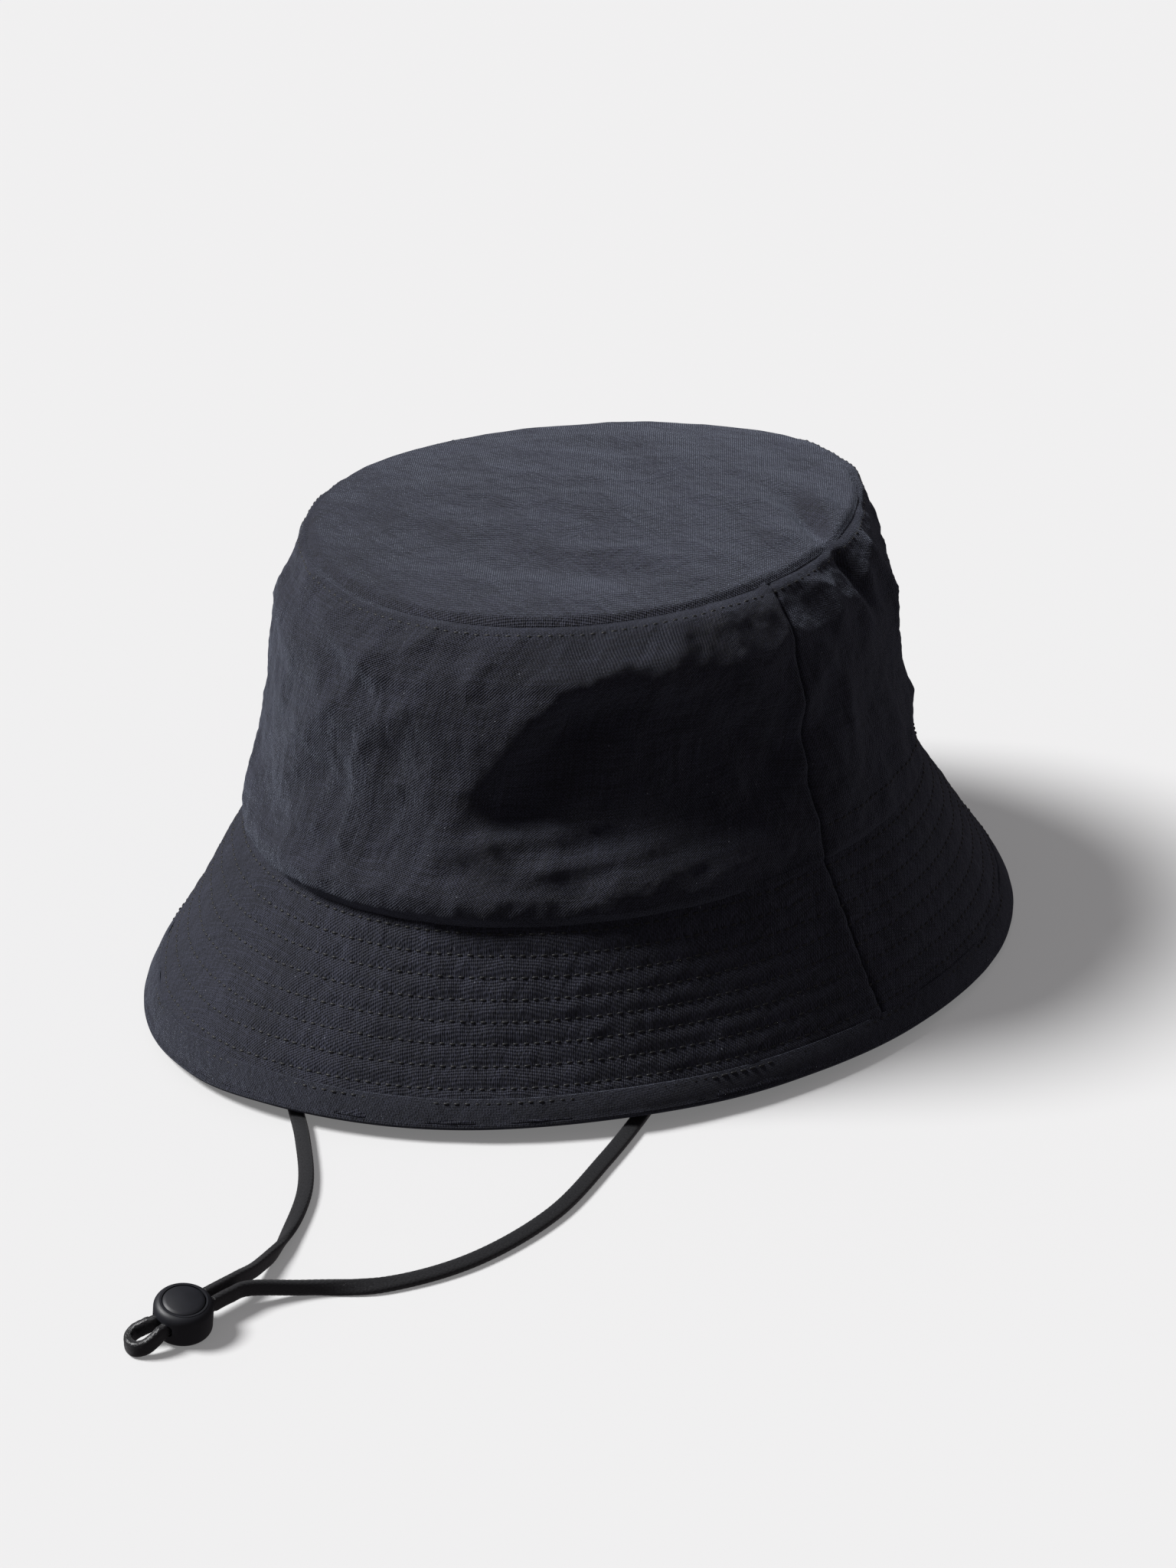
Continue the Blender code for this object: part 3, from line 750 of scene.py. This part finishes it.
def make_inside():
    """The sweatband, tapes, elastic channel, tabs and label inside the crown."""
    levels = np.linspace(0.58, 0.975, 26)
    band = plain_band("sweatband_cloth", WHOLE_ARC, levels, 360, 2.2 * MM, 0.5 * MM, LINER)
    on_hat(band, "liner_cloth", "sweatband")
    levels = np.linspace(0.02, 0.14, 10)
    tape = plain_band("tip_seam_binding", WHOLE_ARC, levels, 360, 0.9 * MM, 0.35 * MM, LINER)
    on_hat(tape, "liner_cloth", "tip_seam_tape")
    for side, middle in (("left", 0.0), ("right", 180.0)):
        arc = (middle - 3.2, middle + 3.2)
        levels = np.linspace(0.12, 0.97, 60)
        tape = plain_band(f"side_seam_binding_{side}", arc, levels, 10, 0.9 * MM, 0.35 * MM, LINER)
        on_hat(tape, "liner_cloth", f"side_seam_tape_{side}")
        arc = (middle - 2.0, middle + 2.0)
        levels = np.linspace(0.86, 0.985, 16)
        tab = plain_band(f"cord_tab_fold_{side}", arc, levels, 10, 3.0 * MM, 0.9 * MM, LINER)
        on_hat(tab, "thread", f"cord_tab_{side}")
    arc = (12, 168)
    levels = np.linspace(0.865, 0.955, 8)
    elastic = plain_band("back_elastic_web", arc, levels, 150, 0.7 * MM, 0.6 * MM, LINER)
    on_hat(elastic, "elastic", "back_elastic")
    levels = np.linspace(0.855, 0.975, 10)
    channel = plain_band("back_channel_cloth", arc, levels, 150, 1.5 * MM, 0.35 * MM, LINER)
    on_hat(channel, "liner_cloth", "back_channel")
    levels = np.linspace(0.66, 0.84, 14)
    label = plain_band("blank_label", (83, 97), levels, 24, 3.0 * MM, 0.3 * MM, LABEL)
    on_hat(label, "liner_cloth", "care_label")


def with_uvs(found):
    points = found[0]
    return points, arc_uvs(points)


# --------------------------------------------------------------------------------- stitches


def stitch_mesh(name, line, normals, pitch, length, radius, sink, material, jitter_seed=1):
    """Single stitches along a line of points: short bowed capsules whose ends dip in."""
    seg = np.linalg.norm(np.diff(line, axis=0), axis=1)
    along = np.concatenate([[0], np.cumsum(seg)])
    count = int(along[-1] / pitch)
    pitch = along[-1] / count
    rings, sides = 5, 6
    random = np.random.default_rng(jitter_seed)
    drift = random.normal(0, 0.05 * MM, count)
    scale = 1 + random.normal(0, 0.06, count)
    points, faces = [], []
    turn = 2 * np.pi * np.arange(sides) / sides
    for k in range(count):
        middle = (k + 0.5) * pitch
        half = length * scale[k] / 2
        base = len(points)
        for r in range(rings):
            t = -1 + 2 * r / (rings - 1)
            at = middle + t * half
            p = np.array([np.interp(at, along, line[:, j]) for j in range(3)])
            q = np.array([np.interp(at + 0.05 * MM, along, line[:, j]) for j in range(3)])
            up = np.array([np.interp(at, along, normals[:, j]) for j in range(3)])
            forward = (q - p) / (np.linalg.norm(q - p) + 1e-12)
            side = np.cross(forward, up)
            side /= np.linalg.norm(side) + 1e-12
            thick = radius * (0.45 if abs(t) == 1 else 1.0)
            centre = p + up * (radius * 0.35 - sink * t * t) + side * drift[k]
            for a in turn:
                points.append(centre + side * (np.cos(a) * thick) + up * (np.sin(a) * thick * 0.85))
        for r in range(rings - 1):
            for s in range(sides):
                a, b = base + r * sides + s, base + r * sides + (s + 1) % sides
                faces.append((a, b, b + sides, a + sides))
        faces.append(tuple(base + s for s in reversed(range(sides))))
        last = base + (rings - 1) * sides
        faces.append(tuple(last + s for s in range(sides)))
    mesh = bpy.data.meshes.new(name)
    mesh.from_pydata([tuple(p) for p in points], [], faces)
    mesh.shade_smooth()
    mesh.materials.append(material)
    made = bpy.data.objects.new(name, mesh)
    bpy.context.scene.collection.objects.link(made)
    return made


STITCH_PITCH = 2.6 * MM
STITCH_LENGTH = 1.6 * MM
STITCH_RADIUS = 0.30 * MM


def stitched_line(name, face, share, arc, lift=0.0, seed=1, steps=720, flip=1.0, depth=0.0):
    degrees = np.linspace(arc[0], arc[1], steps)
    shares = np.full_like(degrees, share)
    normal = outward(face, degrees, shares, 0.6, 0.01)
    line = face(degrees, shares) + normal * (lift - depth)
    return stitch_mesh(
        name, line, normal * flip, STITCH_PITCH, STITCH_LENGTH, STITCH_RADIUS, 0.2 * MM, THREAD, seed
    )


def make_stitching():
    piece = stitched_line("tip_topstitches", band_face, 0.036, WHOLE_ARC, lift=0.15 * MM, seed=40)
    on_hat(piece, "thread", "tip_topstitch")
    for k, share in enumerate(ROWS):
        lift = 0.45 * MM if k == ROW_COUNT - 1 else 0.0
        piece = stitched_line(f"brim_stitches_{k + 1}", brim_face, share, WHOLE_ARC, lift, seed=50 + k)
        on_hat(piece, "thread", f"brim_stitch_row_{k + 1}")
        depth = (2.5 if k == ROW_COUNT - 1 else 1.55) * MM + 0.45 * MM
        under = stitched_line(
            f"brim_under_stitches_{k + 1}", brim_plain, share, WHOLE_ARC, 0.0, 70 + k, 720, -1.0, depth
        )
        on_hat(under, "thread")
    piece = stitched_line("back_channel_stitches", band_face, CHANNEL_DROP, (1.0, 179.0), seed=90)
    on_hat(piece, "thread", "back_channel_topstitch")
    for side, middle in (("left", 0.0), ("right", 180.0)):
        arc = (middle - 1.6, middle + 1.6)
        name = f"cord_tab_stitches_{side}"
        piece = stitched_line(name, band_face, 0.905, arc, 0.0, 95, 60, -1.0, 3.95 * MM)
        on_hat(piece, "thread", f"cord_tab_tack_{side}")


CHANNEL_DROP = 0.868

# --------------------------------------------------------------------- the cord and its lock

CORD_ROUTE = (
    (-0.0768, 0.0070, 0.0436),
    (-0.0780, 0.0066, 0.0340),
    (-0.0785, 0.0046, 0.0225),
    (-0.0775, -0.0004, 0.0130),
    (-0.0740, -0.0094, 0.0060),
    (-0.0685, -0.0204, 0.0026),
    (-0.0615, -0.0334, 0.0015),
    (-0.0505, -0.0494, 0.0014),
    (-0.0205, -0.0834, 0.0014),
    (0.0105, -0.1089, 0.0014),
    (0.0370, -0.1259, 0.0014),
    (0.0548, -0.1399, 0.0014),
    (0.0675, -0.1569, 0.0016),
    (0.0737, -0.1694, 0.0034),
    (0.0761, -0.1774, 0.0053),
    (0.0764, -0.1824, 0.0056),
    (0.0764, -0.1884, 0.0056),
    (0.0764, -0.1954, 0.0056),
    (0.0764, -0.2010, 0.0056),
    (0.0751, -0.2031, 0.0046),
    (0.0737, -0.2051, 0.0034),
    (0.0740, -0.2072, 0.0026),
    (0.0758, -0.2084, 0.0023),
    (0.0778, -0.2082, 0.0023),
    (0.0793, -0.2064, 0.0028),
    (0.0798, -0.2040, 0.0039),
    (0.0797, -0.2010, 0.0050),
    (0.0797, -0.1954, 0.0050),
    (0.0797, -0.1884, 0.0050),
    (0.0797, -0.1824, 0.0050),
    (0.0804, -0.1769, 0.0046),
    (0.0868, -0.1654, 0.0022),
    (0.0978, -0.1509, 0.0014),
    (0.1047, -0.1299, 0.0014),
    (0.1041, -0.1044, 0.0014),
    (0.0961, -0.0794, 0.0014),
    (0.0867, -0.0564, 0.0014),
    (0.0765, -0.0359, 0.0014),
    (0.0640, -0.0149, 0.0014),
    (0.0615, 0.0006, 0.0018),
    (0.0665, 0.0141, 0.0050),
    (0.0750, 0.0176, 0.0130),
    (0.0810, 0.0141, 0.0220),
    (0.0855, 0.0084, 0.0340),
    (0.0848, 0.0070, 0.0436),
)
CORD_WIDTH = 3.8 * MM
CORD_THICKNESS = 2.1 * MM
CORD_STANDS_BELOW_Y = -0.1654  # nearer the lock than this the cord stands on its edge
CORD_TURNS_OVER = 10.0 * MM
CORD_LYING_TILT = 11.0
LOCK_AT = (0.0773, -0.1946, 0.00098)
LOCK_LEAN_DEG = 10.0


def smooth_route(route, step):
    """Points about a step apart on a Catmull-Rom curve through the route."""
    stops = np.array(route)
    stops = np.concatenate([[2 * stops[0] - stops[1]], stops, [2 * stops[-1] - stops[-2]]])
    line = [stops[1]]
    for a, b, c, d in zip(stops, stops[1:], stops[2:], stops[3:]):
        pieces = max(4, math.ceil(np.linalg.norm(c - b) / step))
        for k in range(1, pieces + 1):
            t = k / pieces
            square, cube = 2 * a - 5 * b + 4 * c - d, 3 * b - a - 3 * c + d
            line.append(0.5 * (2 * b + (c - a) * t + square * t**2 + cube * t**3))
    line = np.array(line)
    along = np.concatenate([[0], np.cumsum(np.linalg.norm(np.diff(line, axis=0), axis=1))])
    spaced = np.linspace(0, along[-1], int(along[-1] / step) + 1)
    return np.stack([np.interp(spaced, along, line[:, k]) for k in range(3)], -1), spaced


def make_cord():
    line, along = smooth_route(CORD_ROUTE, 0.28 * MM)
    tangent = np.gradient(line, axis=0)
    tangent /= np.linalg.norm(tangent, axis=1, keepdims=True)
    level = np.cross(np.array([0.0, 0.0, 1.0]), tangent)
    level /= np.linalg.norm(level, axis=1, keepdims=True)
    # The cord lies nearly flat on the table, and stands on its edge in the lock and its loop.
    from_lock = np.maximum(0, line[:, 1] - CORD_STANDS_BELOW_Y)
    standing = np.exp(-((from_lock / CORD_TURNS_OVER) ** 2))
    tilt = np.radians(CORD_LYING_TILT + (90 - CORD_LYING_TILT) * standing)
    upright = np.cross(tangent, level)
    wide = level * np.cos(tilt)[:, None] + upright * np.sin(tilt)[:, None]
    thin = np.cross(tangent, wide)
    sides = 36
    turn = 2 * np.pi * np.arange(sides) / sides
    bend = 0.62
    c = np.sign(np.cos(turn)) * np.abs(np.cos(turn)) ** bend
    s = np.sign(np.sin(turn)) * np.abs(np.sin(turn)) ** bend
    squeeze = 1 - 0.14 * standing * (np.abs(line[:, 1] - LOCK_AT[1]) < 0.0075)
    round_mm = np.cumsum(np.hypot(*(np.diff(np.stack([c * 1.9, s * 1.05]), append=[[1.9], [0.0]]))))
    plait = 0.085 * np.abs(np.sin(np.pi * (round_mm[None, :] / 0.78 + along[:, None] / MM / 1.5)))
    cross = 0.085 * np.abs(np.sin(np.pi * (round_mm[None, :] / 0.78 - along[:, None] / MM / 1.5)))
    relief = (1.5 * np.maximum(plait, cross) - 0.10) * MM
    half_w = (CORD_WIDTH / 2 * squeeze)[:, None] + relief
    half_t = CORD_THICKNESS / 2 + relief
    points = (
        line[:, None, :]
        + wide[:, None, :] * (c[None, :] * half_w)[..., None]
        + thin[:, None, :] * (s[None, :] * half_t)[..., None]
    )
    uvs = np.stack(np.broadcast_arrays(round_mm[None, :] * MM, along[:, None]), -1)
    cord = grid_mesh("chin_cord_braid", points, uvs, CORD, 0.0, closed=True)
    close_ends(cord, sides)
    on_hat(cord, "cord", "chin_cord")
    path = [tuple(p) for p in line[::8]] + [tuple(line[-1])]
    return cord, path, float(along[-1])


def turned_mesh(name, profile, steps, material):
    """A solid turned from (radius, height) pairs in mm, from its axis round and back to it."""
    mesh = bmesh.new()
    turn = 2 * np.pi * np.arange(steps) / steps
    rings = []
    for radius, height in profile:
        if radius == 0:
            rings.append([mesh.verts.new((0, 0, height * MM))])
        else:
            reach, z = radius * MM, height * MM
            rings.append([mesh.verts.new((reach * math.cos(t), reach * math.sin(t), z)) for t in turn])
    for a, b in zip(rings, rings[1:]):
        for k in range(steps):
            corners = [a[k % len(a)], a[(k + 1) % len(a)], b[(k + 1) % len(b)], b[k % len(b)]]
            mesh.faces.new(list(dict.fromkeys(corners)))
    bmesh.ops.recalc_face_normals(mesh, faces=mesh.faces)
    data = bpy.data.meshes.new(name)
    mesh.to_mesh(data)
    mesh.free()
    data.shade_smooth()
    data.set_sharp_from_angle(angle=math.radians(40))
    data.materials.append(material)
    made = bpy.data.objects.new(name, data)
    bpy.context.scene.collection.objects.link(made)
    return made


def arc_points(centre, radius, start, end, steps):
    turns = [math.radians(start + (end - start) * k / steps) for k in range(steps + 1)]
    return [(centre[0] + radius * math.cos(t), centre[1] + radius * math.sin(t)) for t in turns]


def cut_through(piece, half_width, low, high, round_by):
    """Cuts a round-cornered slot through a piece, along Y, and applies it."""
    bpy.ops.mesh.primitive_cube_add(size=1.0)
    cutter = bpy.context.object
    cutter.data.transform(Matrix.Diagonal((2 * half_width * MM, 0.04, (high - low) * MM, 1.0)))
    cutter.data.transform(Matrix.Translation((0, 0, (low + high) / 2 * MM)))
    mesh = bmesh.new()
    mesh.from_mesh(cutter.data)
    runs = [e for e in mesh.edges if abs(e.verts[0].co.y - e.verts[1].co.y) > 0.02]
    bmesh.ops.bevel(mesh, geom=runs, offset=round_by * MM, segments=5, profile=0.5, affect="EDGES")
    mesh.to_mesh(cutter.data)
    mesh.free()
    cut = piece.modifiers.new("slot", "BOOLEAN")
    cut.operation = "DIFFERENCE"
    cut.solver = "EXACT"
    cut.object = cutter
    bpy.context.view_layer.update()
    seen = piece.evaluated_get(bpy.context.evaluated_depsgraph_get())
    done = bpy.data.meshes.new_from_object(seen)
    piece.modifiers.remove(cut)
    piece.data = done
    piece.data.shade_smooth()
    piece.data.set_sharp_from_angle(angle=math.radians(35))
    bpy.data.objects.remove(cutter)


def make_lock():
    lean = Matrix.Translation(LOCK_AT) @ Matrix.Rotation(math.radians(LOCK_LEAN_DEG), 4, "Y")
    profile = [(0.0, 0.8), (5.2, 0.8), (5.2, 8.25)]
    profile += arc_points((5.55, 8.15), 0.35, 170, 90, 5)
    profile += arc_points((4.95, 6.55), 1.95, 86, 4, 16)
    profile += arc_points((5.5, 1.4), 1.4, 0, -90, 10)
    profile += [(0.0, 0.0)]
    barrel = turned_mesh("lock_barrel_shell", profile, 120, PLASTIC)
    cut_through(barrel, 3.5, 2.9, 5.9, 0.9)
    dome = [(4.9 * s, 9.35 - 0.75 * s * s) for s in (0.0, 0.12, 0.25, 0.4, 0.55, 0.7, 0.82, 0.9)]
    profile = dome + arc_points((4.55, 8.22), 0.35, 66, 0, 6) + [(4.9, 2.35), (4.75, 2.2), (0.0, 2.2)]
    button = turned_mesh("lock_button_cap", profile, 120, PLASTIC)
    cut_through(button, 3.2, 2.9, 6.85, 0.4)
    for piece, body, node in ((barrel, "cord_lock", "lock_barrel"), (button, "lock_button", "lock_button")):
        piece.matrix_world = lean
        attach(piece, body)
        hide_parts(node)
    make_spring(lean)


def tube_mesh(name, line, radius, sides, material):
    """A round wire or thread along a line of points, closed at both ends."""
    tangent = np.gradient(line, axis=0)
    tangent /= np.linalg.norm(tangent, axis=1, keepdims=True)
    level = np.cross(np.array([0.0, 0.0, 1.0]), tangent)
    level /= np.linalg.norm(level, axis=1, keepdims=True)
    upright = np.cross(tangent, level)
    turn = 2 * np.pi * np.arange(sides) / sides
    ring = level[:, None, :] * np.cos(turn)[None, :, None] + upright[:, None, :] * np.sin(turn)[None, :, None]
    points = line[:, None, :] + ring * radius
    uvs = np.zeros(points.shape[:2] + (2,))
    made = grid_mesh(name, points, uvs, material, 0.0, closed=True)
    close_ends(made, sides)
    return made


def close_ends(piece, sides):
    mesh = bmesh.new()
    mesh.from_mesh(piece.data)
    bmesh.ops.holes_fill(mesh, edges=[e for e in mesh.edges if e.is_boundary], sides=sides)
    bmesh.ops.recalc_face_normals(mesh, faces=mesh.faces)
    mesh.to_mesh(piece.data)
    mesh.free()


SPRING_RADII = (4.0 * MM, 2.2 * MM)
SPRING_HEIGHTS = (1.32 * MM, 1.68 * MM)
SPRING_TURNS = 2
SPRING_WIRE = 0.2 * MM


def make_spring(lean):
    """The conical return spring under the button."""
    t = np.linspace(0, 1, 97)
    turn = 2 * np.pi * SPRING_TURNS * t
    radius = SPRING_RADII[0] + (SPRING_RADII[1] - SPRING_RADII[0]) * t
    height = SPRING_HEIGHTS[0] + (SPRING_HEIGHTS[1] - SPRING_HEIGHTS[0]) * t
    line = np.stack([radius * np.cos(turn), radius * np.sin(turn), height], -1)
    coil = tube_mesh("lock_spring_coil", line, SPRING_WIRE, 10, STEEL)
    coil.matrix_world = lean
    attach(coil, "cord_lock")
    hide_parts("lock_spring")
    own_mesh(coil)


# ------------------------------------------------------------------------------- the studio

FLOOR_SIZE = 30.0
SUN_ELEVATION = 49.0
SUN_FROM_AZIMUTH = -50.0
SUN_SOFTNESS = 20.0
SUN_STRENGTH = 3.9


def make_studio():
    scene = bpy.context.scene
    scene.view_settings.view_transform = "Standard"
    bpy.ops.mesh.primitive_plane_add(size=FLOOR_SIZE, location=(0, 0, 0))
    floor = bpy.context.object
    floor.name = "floor"
    n = Nodes("floor_paper")
    n.shader.inputs["Base Color"].default_value = (0.685, 0.685, 0.685, 1.0)
    n.shader.inputs["Roughness"].default_value = 0.9
    n.shader.inputs["Specular IOR Level"].default_value = 0.0
    n.shader.inputs["Emission Color"].default_value = (1.0, 1.0, 1.0, 1.0)
    n.shader.inputs["Emission Strength"].default_value = 0.165
    floor.data.materials.append(n.material)
    floor.visible_diffuse = False
    floor.visible_glossy = False

    world = bpy.data.worlds.new("studio")
    scene.world = world
    world.use_nodes = True
    world.node_tree.nodes["Background"].inputs["Color"].default_value = (1.0, 0.92, 0.98, 1.0)
    world.node_tree.nodes["Background"].inputs["Strength"].default_value = 0.10

    sun = bpy.data.lights.new("key", "SUN")
    sun.energy = SUN_STRENGTH
    sun.angle = math.radians(SUN_SOFTNESS)
    key = bpy.data.objects.new("key", sun)
    scene.collection.objects.link(key)
    a, e = math.radians(SUN_FROM_AZIMUTH), math.radians(SUN_ELEVATION)
    source = Vector((math.sin(a) * math.cos(e), -math.cos(a) * math.cos(e), math.sin(e)))
    key.rotation_mode = "QUATERNION"
    key.rotation_quaternion = (-source).to_track_quat("-Z", "Y")


make_camera()
cord, cord_path, cord_length = make_cord()
make_lock()
make_band()
make_tip()
make_brim()
make_binding()
make_inside()
make_stitching()
make_studio()
